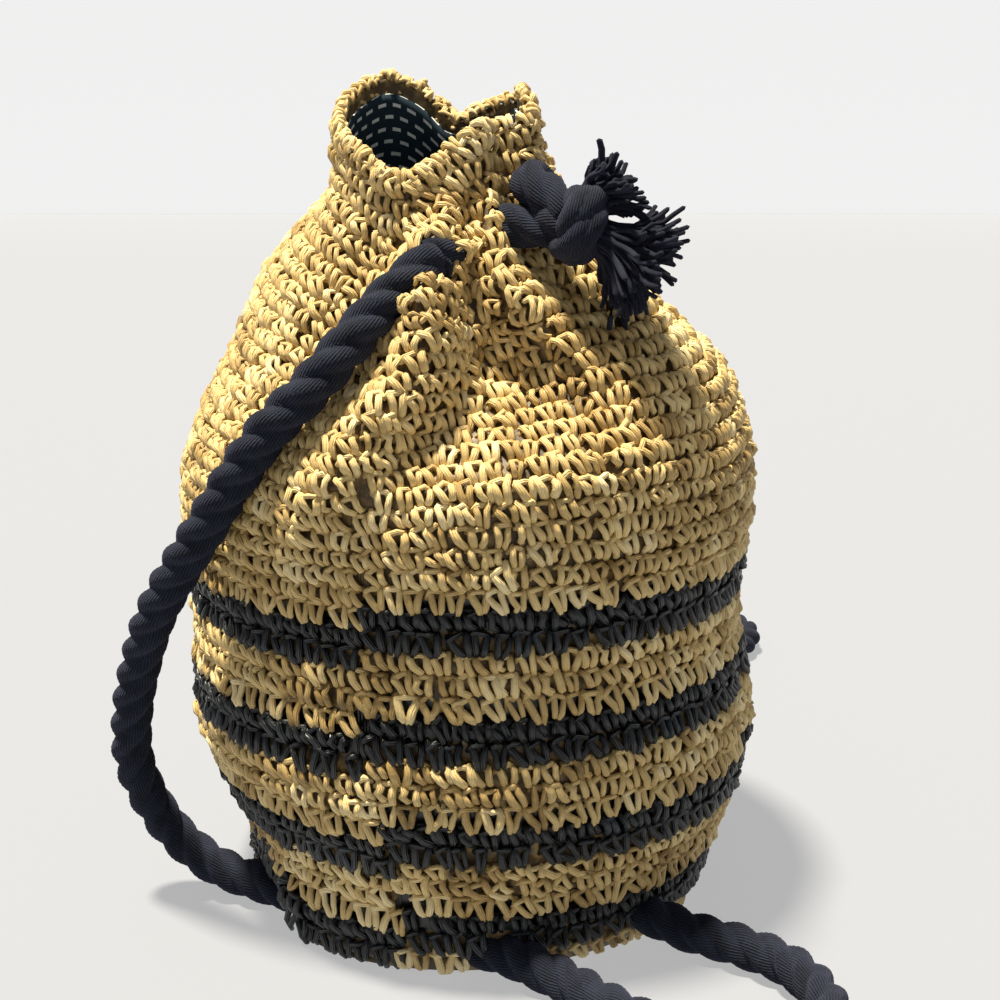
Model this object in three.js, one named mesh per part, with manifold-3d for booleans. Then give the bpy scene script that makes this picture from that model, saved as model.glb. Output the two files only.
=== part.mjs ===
// A drawstring bucket backpack crocheted from paper straw, with two shoulder straps of thick twisted cotton rope.
// Millimetres, +Z up. The origin is the middle of the bag's base on the surface that it stands on.
// The straw fabric is one spiral of rows, so each stripe's edge sinks by one row in a turn and jogs at the seam.
import * as THREE from "three";
import { mergeVertices } from "three/addons/utils/BufferGeometryUtils.js";
import Module from "manifold-3d";

const wasm = await Module();
wasm.setup();

// Driving sizes, in millimetres
const BELLY_RADIUS = 140;
const SHOULDER_HEIGHT = 300;
const MOUTH_HEIGHT = 96;
const WALL = 4;
const BASE_THICKNESS = 4;
const BASE_FLAT = 0.4; // share of the bottom that lies flat
const BASE_UNDER = 0.7; // the stiffer bottom's reach over the rope, as a share of the rope's width
const BASE_RISE = 0.5; // how much higher its edge lies than the flat part
const LINING_THICKNESS = 1.2;
const ROW_HEIGHT = 9.8;
const HEM_RISE = 3;
const ROPE = 20;
const HOLE_CLEARANCE = 0.6;
const GAP = 0.3;
const LINING_GAP = 1;
const KNOT_RADIUS = 9.5;
const KNOT_STRAND = 9;
const STOPPER_RADIUS = 15;
const TASSEL_NECK = 6.5;
const LOCK_ROOT = 5;
const LOCK_TIP = 2.2;

// How finely the forms are faceted
const FACETS_ROUND = 44;
const ROPE_SIDES = 9;
const STRAP_STEPS = 32;
const ARC_STEPS = 10;

const DEGREE = Math.PI / 180;
const SEAM_AZIMUTH = -107;

// The bag's round sections. Heights are shares of the shoulder's height, the rest shares of the belly's radius.
const SECTIONS = [
  { height: 0.0, radius: 0.815, centreX: 0.014, centreY: -0.03 },
  { height: 0.037, radius: 0.836, centreX: 0.03, centreY: -0.03 },
  { height: 0.127, radius: 0.875, centreX: 0.054, centreY: -0.02 },
  { height: 0.22, radius: 0.957, centreX: 0.043, centreY: -0.01 },
  { height: 0.31, radius: 0.996, centreX: 0.011, centreY: 0 },
  { height: 0.487, radius: 0.97, centreX: -0.011, centreY: 0 },
  { height: 0.653, radius: 0.996, centreX: -0.004, centreY: 0 },
  { height: 0.74, radius: 0.984, centreX: 0, centreY: 0 },
  { height: 0.823, radius: 0.925, centreX: 0.014, centreY: 0 },
  { height: 0.9, radius: 0.838, centreX: 0.018, centreY: 0 },
  { height: 0.997, radius: 0.672, centreX: -0.042, centreY: -0.01 },
  { height: 1.09, radius: 0.548, centreX: -0.07, centreY: -0.03 },
  { height: 1.18, radius: 0.43, centreX: -0.02, centreY: -0.08 },
  { height: 1.32, radius: 0.36, centreX: -0.025, centreY: -0.107 },
];

// The mouth's rim round its own centre: radius as a share of the belly's, rise as a share of the mouth's height.
const RIM_CENTRE = { x: -0.025, y: -0.107 };
const RIM = [
  { azimuth: -170, radius: 0.415, rise: 0.8 },
  { azimuth: -140, radius: 0.44, rise: 0.67 },
  { azimuth: -112, radius: 0.44, rise: 0.53 },
  { azimuth: -94, radius: 0.37, rise: 0.645 },
  { azimuth: -76, radius: 0.34, rise: 0.76 },
  { azimuth: -56, radius: 0.21, rise: 0.76 },
  { azimuth: -32, radius: 0.29, rise: 0.82 },
  { azimuth: -8, radius: 0.22, rise: 0.92 },
  { azimuth: 18, radius: 0.27, rise: 0.88 },
  { azimuth: 45, radius: 0.31, rise: 0.9 },
  { azimuth: 70, radius: 0.24, rise: 0.86 },
  { azimuth: 95, radius: 0.16, rise: 0.8 },
  { azimuth: 118, radius: 0.26, rise: 0.93 },
  { azimuth: 140, radius: 0.34, rise: 1.0 },
  { azimuth: 165, radius: 0.385, rise: 0.92 },
];

// Folds that the drawstring gathers: each runs down from the neck, from the height "full" to nothing at "end".
const FOLDS = [
  { top: -95, bottom: -129, full: 0.97, end: 0.6, width: 10, rise: 0.18 },
  { top: -84, bottom: -88, full: 1.03, end: 0.86, width: 7, rise: -0.12 },
  { top: -74, bottom: -62, full: 1.04, end: 0.86, width: 8, rise: 0.09 },
  { top: -55, bottom: -48, full: 1.05, end: 0.92, width: 10, rise: -0.1 },
  { top: -26, bottom: -32, full: 1.0, end: 0.82, width: 11, rise: 0.05 },
  { top: -4, bottom: -8, full: 1.02, end: 0.88, width: 9, rise: -0.07 },
  { top: 18, bottom: 14, full: 1.0, end: 0.84, width: 10, rise: 0.05 },
  { top: 41, bottom: 38, full: 1.02, end: 0.88, width: 9, rise: -0.08 },
  { top: 63, bottom: 66, full: 1.0, end: 0.8, width: 10, rise: 0.05 },
  { top: 86, bottom: 90, full: 1.02, end: 0.86, width: 9, rise: -0.08 },
  { top: 108, bottom: 112, full: 1.0, end: 0.78, width: 10, rise: 0.05 },
  { top: 131, bottom: 134, full: 1.02, end: 0.88, width: 9, rise: -0.06 },
  { top: 155, bottom: 158, full: 1.0, end: 0.84, width: 11, rise: 0.04 },
  { top: 180, bottom: 182, full: 1.02, end: 0.88, width: 9, rise: 0.02 },
  { top: -117, bottom: -136, full: 1.0, end: 0.8, width: 12, rise: -0.07 },
];

// Dents and bulges of the slack fabric: azimuth and half-width in degrees, heights and rise as above.
const DENTS = [
  { azimuth: -83, height: 0.9, wide: 19, tall: 0.075, rise: -0.2 },
  { azimuth: -98, height: 0.82, wide: 9, tall: 0.05, rise: -0.09 },
  { azimuth: -72, height: 0.79, wide: 26, tall: 0.05, rise: 0.045 },
  { azimuth: 0, height: 0.97, wide: 34, tall: 0.07, rise: -0.05 },
  { azimuth: -124, height: 0.02, wide: 28, tall: 0.14, rise: 0.035 },
  { azimuth: -14, height: 0.3, wide: 5, tall: 0.13, rise: -0.04 },
  { azimuth: 8, height: 0.28, wide: 14, tall: 0.14, rise: 0.03 },
];

// The stripes from the base up, as rows of stitches in each colour.
const STRIPES = [
  { name: "straw_hem", rows: 1, colour: "straw" },
  { name: "navy_band_4", rows: 2, colour: "navy" },
  { name: "straw_band_3", rows: 3, colour: "straw" },
  { name: "navy_band_3", rows: 2, colour: "navy" },
  { name: "straw_band_2", rows: 3, colour: "straw" },
  { name: "navy_band_2", rows: 2, colour: "navy" },
  { name: "straw_band_1", rows: 3, colour: "straw" },
  { name: "navy_band_1", rows: 2, colour: "navy" },
];
const STRIPE_ROWS = STRIPES.reduce((sum, stripe) => sum + stripe.rows, 0);

// Where the yoke's cross sections lie: up to 1 over the body, from 1 to 2 over the mouth.
const YOKE_LEVELS = [0.7, 0.79, 0.85, 0.9, 0.95, 1, 1.11, 1.22, 1.34, 1.48, 1.62, 1.78, 1.92, 2];
const LINING_LEVELS = YOKE_LEVELS.slice(-6, -1);

// The drawstring inside the neck: azimuth in degrees, radius as a share of the belly's, height of the shoulder's.
const FRONT_ARC = [
  { azimuth: -93, radius: 0.609, height: 1.06 },
  { azimuth: -82, radius: 0.415, height: 1.06 },
  { azimuth: -73, radius: 0.4, height: 1.085 },
  { azimuth: -65, radius: 0.46, height: 1.105 },
  { azimuth: -58, radius: 0.525, height: 1.105 },
];
const BACK_ARC = [
  { azimuth: -57, radius: 0.43, height: 1.165 },
  { azimuth: -45, radius: 0.36, height: 1.16 },
  { azimuth: -26, radius: 0.33, height: 1.13 },
  { azimuth: -5, radius: 0.38, height: 1.09 },
  { azimuth: 14, radius: 0.42, height: 1.065 },
  { azimuth: 30, radius: 0.45, height: 1.045 },
  { azimuth: 40, radius: 0.51, height: 1.04 },
  { azimuth: 46, radius: 0.6, height: 1.03 },
];

// The free ropes' routes, in millimetres, from the neck to the bag's lower edge.
const LEFT_STRAP = [
  [-32, -99, 303],
  [-46, -110, 288],
  [-62, -116, 270],
  [-81, -114, 251],
  [-98, -107, 228],
  [-113, -100, 205],
  [-128, -90, 182],
  [-142, -79, 158],
  [-153, -67, 131],
  [-161, -57, 103],
  [-164, -50, 76],
  [-159, -46, 54],
  [-147, -44, 32],
  [-128, -46, 16],
  [-103, -55, 10.8],
  [-60, -78, 10.3],
  [-18, -100.6, 10.3],
  [4, -112.4, 10.3],
  [21, -122, 10.3],
  [42, -140, 10.3],
  [64, -163, 10.3],
  [88, -182, 10.3],
  [113, -192, 10.3],
  [137, -189, 10.3],
  [153, -173, 10.3],
  [153, -150, 10.3],
  [144, -129, 10.3],
  [124, -112, 10.3],
  [104, -102, 11],
  [84, -91, 14.5],
  [66, -79, 17],
];
const RIGHT_STRAP = [
  [68, 82, 301],
  [82, 104, 276],
  [90, 122, 246],
  [89, 135, 208],
  [84, 139, 165],
  [80, 142, 120],
  [77, 147, 75],
  [78, 156, 38],
  [82, 174, 14],
  [88, 198, 10.3],
  [100, 230, 10.3],
  [122, 262, 10.3],
  [152, 278, 10.3],
  [183, 289, 10.3],
  [198, 318, 10.3],
  [184, 348, 10.3],
  [152, 360, 10.3],
  [112, 346, 10.3],
  [82, 306, 10.3],
  [60, 250, 10.3],
  [58, 192, 10.3],
  [72, 140, 10.3],
  [82, 112, 11],
  [76, 88, 15.5],
  [64, 70, 16],
];
// The two points of the left strap between which the bag stands on it.
const STRAP_UNDER_BAG = { from: [-103, -55], to: [4, -112.4] };

// The knot that joins both rope ends, and the frayed ends beyond it.
const KNOT = { x: 0.353, y: -0.56, height: 1.11 };
const TASSELS = [
  { name: "tassel_upper", from: [4, 4, 8], heading: [0.75, 0.1, 0.65], length: 22, locks: 7, fan: 0.7 },
  { name: "tassel_lower", from: [8, -1, -5], heading: [0.87, -0.05, -0.5], length: 36, locks: 9, fan: 0.75 },
];

const MATERIALS = {
  straw: new THREE.MeshStandardMaterial({ color: 0xcfae70, roughness: 0.75, metalness: 0 }),
  navy: new THREE.MeshStandardMaterial({ color: 0x10181c, roughness: 0.7, metalness: 0 }),
  rope: new THREE.MeshStandardMaterial({ color: 0x191a28, roughness: 0.9, metalness: 0 }),
  cotton: new THREE.MeshStandardMaterial({ color: 0x223540, roughness: 0.85, metalness: 0 }),
};

// 0 at and below 0, 1 at and above 1, smooth between.
function ease(x) {
  const t = Math.min(1, Math.max(0, x));
  return t * t * (3 - 2 * t);
}

// The shortest turn from one azimuth to another, in degrees.
function turn(from, to) {
  return ((((to - from) % 360) + 540) % 360) - 180;
}

// A smooth curve through one column of a table. A period makes it run round.
function curveThrough(rows, along, column, period = 0) {
  let knots = rows.map((row) => [row[along], row[column]]);
  if (period) {
    const last = knots.slice(-2).map(([x, y]) => [x - period, y]);
    const first = knots.slice(0, 2).map(([x, y]) => [x + period, y]);
    knots = [...last, ...knots, ...first];
  }
  const slopes = knots.map((knot, i) => {
    const a = knots[Math.max(0, i - 1)];
    const b = knots[Math.min(knots.length - 1, i + 1)];
    return (b[1] - a[1]) / (b[0] - a[0]);
  });
  return (x) => {
    let at = x;
    if (period) at = rows[0][along] + ((((x - rows[0][along]) % period) + period) % period);
    at = Math.min(knots[knots.length - 1][0], Math.max(knots[0][0], at));
    let i = 0;
    while (i < knots.length - 2 && at > knots[i + 1][0]) i += 1;
    const span = knots[i + 1][0] - knots[i][0];
    const t = (at - knots[i][0]) / span;
    const h = t * t * (3 - 2 * t);
    return (
      knots[i][1] * (1 - h) +
      knots[i + 1][1] * h +
      span * (slopes[i] * t * (1 - t) * (1 - t) - slopes[i + 1] * t * t * (1 - t))
    );
  };
}

const sectionRadius = curveThrough(SECTIONS, "height", "radius");
const sectionX = curveThrough(SECTIONS, "height", "centreX");
const sectionY = curveThrough(SECTIONS, "height", "centreY");
const rimRadius = curveThrough(RIM, "azimuth", "radius", 360);
const rimRise = curveThrough(RIM, "azimuth", "rise", 360);

// How much the folds and dents move the wall out, as a share of the belly's radius.
function relief(azimuth, height, mouth) {
  let rise = 0;
  for (const fold of FOLDS) {
    const down = Math.min(1, Math.max(0, (fold.full - height) / (fold.full - fold.end)));
    const centre = fold.top + turn(fold.top, fold.bottom) * down;
    const across = turn(centre, azimuth) / fold.width;
    rise += fold.rise * Math.exp(-across * across) * ease(1 - down);
  }
  rise *= 1 - ease((mouth - 0.45) / 0.55);
  for (const dent of DENTS) {
    const across = turn(dent.azimuth, azimuth) / dent.wide;
    const up = (height - dent.height) / dent.tall;
    rise += dent.rise * Math.exp(-across * across - up * up);
  }
  return rise;
}

// How far the cloth is pushed up where it lies over the rope: wholly over the share "under" of the rope's width
// to each side of its middle, then fading out.
function liftOverRope(x, y, under = 0.42) {
  const [ax, ay] = STRAP_UNDER_BAG.from;
  const [bx, by] = STRAP_UNDER_BAG.to;
  const length = Math.hypot(bx - ax, by - ay);
  const away = Math.abs((x - ax) * (by - ay) - (y - ay) * (bx - ax)) / length;
  return (ROPE + 4 * GAP) * (1 - ease((away - under * ROPE) / (0.48 * ROPE)));
}

// Where the rope comes out at the front, the hem hangs down over it instead of riding on it.
function hangsDown(x, y) {
  const [ax, ay] = STRAP_UNDER_BAG.from;
  const [bx, by] = STRAP_UNDER_BAG.to;
  const share = ((x - ax) * (bx - ax) + (y - ay) * (by - ay)) / ((bx - ax) ** 2 + (by - ay) ** 2);
  return ease((share - 0.4) / 0.35);
}

// A point of the bag's outer face. Level 0 to 1 is the body, 1 to 2 the mouth up to its rim.
function facePoint(azimuth, level) {
  const mouth = Math.max(0, level - 1);
  const rimZ = rimRise(azimuth) * MOUTH_HEIGHT;
  const z = Math.min(1, level) * SHOULDER_HEIGHT + mouth * rimZ;
  const height = z / SHOULDER_HEIGHT;
  const open = ease(mouth);
  const radius = sectionRadius(height) + relief(azimuth, height, mouth);
  const r = BELLY_RADIUS * (radius * (1 - open) + rimRadius(azimuth) * open);
  const cx = BELLY_RADIUS * (sectionX(height) * (1 - open) + RIM_CENTRE.x * open);
  const cy = BELLY_RADIUS * (sectionY(height) * (1 - open) + RIM_CENTRE.y * open);
  const x = cx + r * Math.cos(azimuth * DEGREE);
  const y = cy + r * Math.sin(azimuth * DEGREE);
  return new THREE.Vector3(x, y, z);
}

// A point of the wall, so far in from its outer face, with the bottom draped over the rope.
function wallPoint(azimuth, level, inset) {
  const point = facePoint(azimuth, level);
  const around = facePoint(azimuth + 5, level).sub(facePoint(azimuth - 5, level));
  const up = facePoint(azimuth, Math.min(2, level + 0.05)).sub(facePoint(azimuth, Math.max(0, level - 0.05)));
  const out = around.cross(up);
  out.z *= ease((level - 0.1) / 0.3);
  point.addScaledVector(out.normalize(), -inset);
  const slack = 1 - ease(point.z / (6 * ROW_HEIGHT));
  point.z += liftOverRope(point.x, point.y) * slack * (1 - hangsDown(point.x, point.y));
  return point;
}

// A closed mesh from rings of points: each ring joins the next, and the last joins the first if it is a loop.
function skin(rings, { loop = false } = {}) {
  const round = rings[0].length;
  const vertices = rings.flat();
  const faces = [];
  const pairs = loop ? rings.length : rings.length - 1;
  for (let j = 0; j < pairs; j += 1) {
    const next = (j + 1) % rings.length;
    for (let i = 0; i < round; i += 1) {
      const k = (i + 1) % round;
      const [a, b, c, d] = [j * round + i, j * round + k, next * round + k, next * round + i];
      if (next > j) faces.push(a, b, c, a, c, d);
      else faces.push(a, b, d, b, c, d);
    }
  }
  if (!loop) {
    for (const [ring, first] of [[0, true], [rings.length - 1, false]]) {
      const middle = new THREE.Vector3();
      rings[ring].forEach((p) => middle.add(p));
      vertices.push(middle.divideScalar(round));
      for (let i = 0; i < round; i += 1) {
        const a = ring * round + i;
        const b = ring * round + ((i + 1) % round);
        if (first) faces.push(vertices.length - 1, b, a);
        else faces.push(vertices.length - 1, a, b);
      }
    }
  }
  const geometry = new THREE.BufferGeometry();
  geometry.setAttribute("position", new THREE.Float32BufferAttribute(vertices.flatMap((p) => p.toArray()), 3));
  geometry.setIndex(faces);
  return geometry;
}

// Booleans on closed meshes
function solidOf(geometry) {
  const bare = geometry.clone();
  bare.deleteAttribute("normal");
  bare.deleteAttribute("uv");
  const merged = mergeVertices(bare, 1e-4);
  return new wasm.Manifold(
    new wasm.Mesh({
      numProp: 3,
      vertProperties: merged.attributes.position.array,
      triVerts: new Uint32Array(merged.index.array),
    }),
  );
}

function geometryOf(solid) {
  const mesh = solid.getMesh();
  const geometry = new THREE.BufferGeometry();
  geometry.setAttribute("position", new THREE.Float32BufferAttribute(mesh.vertProperties, 3));
  geometry.setIndex([...mesh.triVerts]);
  geometry.computeVertexNormals();
  return geometry;
}

function cut(geometry, tools) {
  const solid = tools.reduce((left, tool) => left.subtract(solidOf(tool)), solidOf(geometry));
  const bodies = solid.decompose();
  return geometryOf(bodies.reduce((a, b) => (b.volume() > a.volume() ? b : a)));
}

function fuse(geometries) {
  return geometryOf(geometries.map(solidOf).reduce((a, b) => a.add(b)));
}

// The azimuths of the facets, starting at the seam.
const AZIMUTHS = Array.from({ length: FACETS_ROUND }, (_, i) => SEAM_AZIMUTH + (360 * i) / FACETS_ROUND);

// The wall between two edges. Each edge gives a level for each facet.
function wallBetween(levels, inset, thickness) {
  const outside = levels.map((at) => AZIMUTHS.map((azimuth, i) => wallPoint(azimuth, at(i), inset)));
  const inside = levels.map((at) => AZIMUTHS.map((azimuth, i) => wallPoint(azimuth, at(i), inset + thickness)));
  return skin([...outside, ...inside.reverse()], { loop: true });
}

// The edge below a row of stitches, counted from the base. It sinks by one row in a turn from the seam.
function rowEdge(row, side) {
  return (i) => {
    const turned = i / FACETS_ROUND;
    const z = row === 0 ? 0 : HEM_RISE + ROW_HEIGHT * (row - turned) + (side * GAP) / 2;
    return z / SHOULDER_HEIGHT;
  };
}

// A stretch of a longer curve, between two shares of its length.
class Stretch extends THREE.Curve {
  constructor(whole, from, to) {
    super();
    this.share = (t) => from + (to - from) * t;
    this.whole = whole;
  }
  getPoint(t) {
    return this.whole.getPointAt(this.share(t));
  }
  getTangent(t) {
    return this.whole.getTangentAt(this.share(t));
  }
}

// A rope along a curve: a round section swept by an extrusion.
function rope(curve, steps, diameter) {
  const section = new THREE.Shape();
  for (let i = 0; i < ROPE_SIDES; i += 1) {
    const angle = (2 * Math.PI * i) / ROPE_SIDES;
    const corner = [(diameter / 2) * Math.cos(angle), (diameter / 2) * Math.sin(angle)];
    if (i === 0) section.moveTo(...corner);
    else section.lineTo(...corner);
  }
  section.closePath();
  return new THREE.ExtrudeGeometry(section, { steps, bevelEnabled: false, extrudePath: curve });
}

function neckPoint({ azimuth, radius, height }) {
  return new THREE.Vector3(
    BELLY_RADIUS * (sectionX(height) + radius * Math.cos(azimuth * DEGREE)),
    BELLY_RADIUS * (sectionY(height) + radius * Math.sin(azimuth * DEGREE)),
    SHOULDER_HEIGHT * height,
  );
}

const knotCentre = new THREE.Vector3(
  BELLY_RADIUS * KNOT.x,
  BELLY_RADIUS * KNOT.y,
  SHOULDER_HEIGHT * KNOT.height,
);

// Each rope is one curve from the knot, through the neck and down to its anchor. Its part in the neck and its free
// part are two solids, which meet where the rope comes out of the neck.
function ropeLine(arc, strap) {
  const points = [knotCentre, ...arc.map(neckPoint), ...strap.map((p) => new THREE.Vector3(...p))];
  const whole = new THREE.CatmullRomCurve3(points);
  whole.arcLengthDivisions = 1200;
  const lengths = whole.getLengths();
  const at = Math.round((1200 * arc.length) / (points.length - 1));
  const exit = lengths[at] / lengths[1200];
  const gap = GAP / lengths[1200];
  return {
    whole,
    inNeck: new Stretch(whole, 0, exit - gap / 2),
    free: new Stretch(whole, exit + gap / 2, 1),
  };
}

const leftRope = ropeLine([...FRONT_ARC].reverse(), LEFT_STRAP);
const rightRope = ropeLine(BACK_ARC, RIGHT_STRAP);

// The plain knot inside the bag that keeps a rope's end from slipping out.
function stopperKnot(line) {
  const along = line.getTangentAt(1);
  const centre = line.getPointAt(1).addScaledVector(along, STOPPER_RADIUS * 0.8);
  const ball = new THREE.SphereGeometry(STOPPER_RADIUS, 10, 7);
  ball.translate(centre.x, centre.y, STOPPER_RADIUS + BASE_THICKNESS + BASE_RISE + GAP);
  return cut(ball, [rope(line, STRAP_STEPS, ROPE + 2 * GAP)]);
}

// The knot's two wraps and its core, with a margin when it is a tool that trims its neighbours.
function knotBody(margin = 0) {
  const wraps = [-0.5, 0.5].map((side) => {
    const wrap = new THREE.TorusGeometry(KNOT_RADIUS, KNOT_STRAND + margin, 8, 14);
    wrap.rotateY(Math.PI / 2);
    wrap.scale(1, 0.86, 1);
    wrap.rotateY(side * 0.35);
    return wrap.translate(side * 0.6 * KNOT_STRAND, 0, 0);
  });
  const core = new THREE.SphereGeometry(KNOT_RADIUS + margin, 10, 8);
  const body = fuse([...wraps, core]);
  return body.translate(knotCentre.x, knotCentre.y, knotCentre.z);
}

// A frayed rope end: locks that fan out of a short neck, fused to it.
function tassel({ from, heading, length, locks, fan }) {
  const forward = new THREE.Vector3(...heading).normalize();
  const root = knotCentre.clone().add(new THREE.Vector3(...from));
  const lean = new THREE.Quaternion().setFromUnitVectors(new THREE.Vector3(0, 1, 0), forward);
  const head = new THREE.CylinderGeometry(TASSEL_NECK * 1.25, TASSEL_NECK, length * 0.5, 9);
  head.translate(0, length * 0.25, 0).applyQuaternion(lean);
  const strips = Array.from({ length: locks }, (_, i) => {
    const angle = i * 2.4;
    const spread = Math.sqrt((i + 0.5) / locks);
    const reach = length * (1 - 0.25 * spread * Math.abs(Math.sin(3 * angle)));
    const lock = new THREE.CylinderGeometry(LOCK_TIP, LOCK_ROOT, reach, 4);
    lock.translate(0, reach / 2, 0).rotateX(-fan * spread).rotateY(angle);
    lock.translate(0, length * 0.22, 0);
    return lock.applyQuaternion(lean);
  });
  return fuse([head, ...strips]).translate(root.x, root.y, root.z);
}

// The bag's round bottom inside the hem: a soft disc that lies on the floor and over the rope.
function baseDisc() {
  const shares = [BASE_FLAT, 0.66, 0.78, 0.89, 1];
  const ring = (share, height) =>
    AZIMUTHS.map((azimuth) => {
      const edge = wallPoint(azimuth, 0, WALL + GAP);
      const x = edge.x * share;
      const y = edge.y * share;
      const rise = (BASE_RISE * (share - BASE_FLAT)) / (1 - BASE_FLAT);
      return new THREE.Vector3(x, y, liftOverRope(x, y, BASE_UNDER) + rise + height);
    });
  const below = shares.map((share) => ring(share, 0));
  const above = shares.map((share) => ring(share, BASE_THICKNESS));
  return skin([...below, ...above.reverse()]);
}

const bag = new THREE.Group();

function add(name, geometry, material) {
  const mesh = new THREE.Mesh(geometry, MATERIALS[material]);
  mesh.name = name;
  bag.add(mesh);
}

const HOLE = ROPE + 2 * HOLE_CLEARANCE;
const anchorHoles = [leftRope, rightRope].map((line) => rope(line.free, STRAP_STEPS, HOLE));
const neckHoles = [leftRope, rightRope].map((line) => rope(line.inNeck, ARC_STEPS, HOLE));
neckHoles.push(...anchorHoles);

let row = 0;
for (const stripe of STRIPES) {
  const band = wallBetween([rowEdge(row, 1), rowEdge(row + stripe.rows, -1)], 0, WALL);
  add(stripe.name, cut(band, anchorHoles), stripe.colour);
  row += stripe.rows;
}

const yokeEdge = rowEdge(STRIPE_ROWS, 1);
const yokeLevels = [yokeEdge, ...YOKE_LEVELS.map((level) => () => level)];
const yoke = cut(wallBetween(yokeLevels, 0, WALL), neckHoles);
add("straw_yoke", yoke, "straw");
add("base", baseDisc(), "straw");
const liningLevels = LINING_LEVELS.map((level) => () => level);
const lining = wallBetween(liningLevels, WALL + LINING_GAP, LINING_THICKNESS);
// The lining is pinched off where the wall folds sharply.
add("lining", cut(lining, [...neckHoles, yoke]), "cotton");

const knotSpace = [knotBody(GAP)];
add("drawstring_front", cut(rope(leftRope.inNeck, ARC_STEPS, ROPE), knotSpace), "rope");
const besideFront = rope(leftRope.inNeck, ARC_STEPS, ROPE + 2 * GAP);
add("drawstring_back", cut(rope(rightRope.inNeck, ARC_STEPS, ROPE), [...knotSpace, besideFront]), "rope");
add("left_strap", rope(leftRope.free, STRAP_STEPS, ROPE), "rope");
add("right_strap", rope(rightRope.free, STRAP_STEPS, ROPE), "rope");
add("left_stopper_knot", stopperKnot(leftRope.free), "rope");
add("right_stopper_knot", stopperKnot(rightRope.free), "rope");
add("knot", knotBody(), "rope");
for (const end of TASSELS) add(end.name, cut(tassel(end), knotSpace), "rope");

export default bag;
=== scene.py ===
"""A drawstring bucket backpack crocheted from paper straw, with shoulder straps of thick twisted cotton rope.

Lengths in the tables are millimetres, and become metres where a mesh is made. The bag stands on the floor at
the origin, the photograph looks along +Y, and the dark stripes are part of one spiral of rows.
"""

import math

import bpy
import numpy as np
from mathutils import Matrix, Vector


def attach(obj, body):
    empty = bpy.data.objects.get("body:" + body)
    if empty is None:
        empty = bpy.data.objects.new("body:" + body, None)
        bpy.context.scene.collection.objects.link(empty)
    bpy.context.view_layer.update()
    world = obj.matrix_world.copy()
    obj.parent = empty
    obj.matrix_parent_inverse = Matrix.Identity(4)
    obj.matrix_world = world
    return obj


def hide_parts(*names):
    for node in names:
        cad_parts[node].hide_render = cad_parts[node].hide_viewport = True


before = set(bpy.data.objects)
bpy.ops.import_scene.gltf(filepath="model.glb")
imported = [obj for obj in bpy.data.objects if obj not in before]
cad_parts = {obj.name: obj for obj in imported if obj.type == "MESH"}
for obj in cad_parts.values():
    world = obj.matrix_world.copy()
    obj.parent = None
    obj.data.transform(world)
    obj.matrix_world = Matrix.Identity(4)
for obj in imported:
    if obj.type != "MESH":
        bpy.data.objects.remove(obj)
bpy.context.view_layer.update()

MM = 0.001
chance = np.random.default_rng(7)

# Sizes of the bag, as its solids have them
BELLY_RADIUS = 140
SHOULDER_HEIGHT = 300
MOUTH_HEIGHT = 96
WALL = 4
BASE_THICKNESS = 4
BASE_UNDER = 0.7
ROW_HEIGHT = 9.8
HEM_RISE = 3
ROPE = 20
GAP = 0.3
KNOT_RADIUS = 9.5
STOPPER_RADIUS = 15
SEAM_AZIMUTH = -107

# Sizes of the handwork
STITCH_WIDTH = 9.1
YOKE_ROW = 8.2
STRAND = 3.5
ROPE_LAY = 47
# How far in from the outer face the thin cloth behind the stitches has its two sides
CLOTH_OUTSIDE = 3.0
CLOTH_INSIDE = WALL + 0.4
# How near to a rope's middle a stitch may be, in the stripes, near the floor and in the yoke
ROOM_IN_STRIPES = 0.62 * ROPE
ROOM_NEAR_FLOOR = 0.36 * ROPE
ROOM_IN_YOKE = 0.42 * ROPE
# Rows of the yoke in its lower piece, so that either piece stays under 200,000 triangles
YOKE_SPLIT = 11
BASE_ROUNDS = 12
BASE_RADIUS = 111
PRINT_SCALE = 7.0

# The bag's round sections, as shares of the shoulder's height and of the belly's radius:
# height, radius, centre x, centre y
SECTIONS = [
    (0.0, 0.815, 0.014, -0.03),
    (0.037, 0.836, 0.03, -0.03),
    (0.127, 0.875, 0.054, -0.02),
    (0.22, 0.957, 0.043, -0.01),
    (0.31, 0.996, 0.011, 0),
    (0.487, 0.97, -0.011, 0),
    (0.653, 0.996, -0.004, 0),
    (0.74, 0.984, 0, 0),
    (0.823, 0.925, 0.014, 0),
    (0.9, 0.838, 0.018, 0),
    (0.997, 0.672, -0.042, -0.01),
    (1.09, 0.548, -0.07, -0.03),
    (1.18, 0.43, -0.02, -0.08),
    (1.32, 0.36, -0.025, -0.107),
]
# The mouth's rim: azimuth, radius, rise
RIM_CENTRE = (-0.025, -0.107)
RIM = [
    (-170, 0.415, 0.8),
    (-140, 0.44, 0.67),
    (-112, 0.44, 0.53),
    (-94, 0.37, 0.645),
    (-76, 0.34, 0.76),
    (-56, 0.21, 0.76),
    (-32, 0.29, 0.82),
    (-8, 0.22, 0.92),
    (18, 0.27, 0.88),
    (45, 0.31, 0.9),
    (70, 0.24, 0.86),
    (95, 0.16, 0.8),
    (118, 0.26, 0.93),
    (140, 0.34, 1.0),
    (165, 0.385, 0.92),
]
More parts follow.
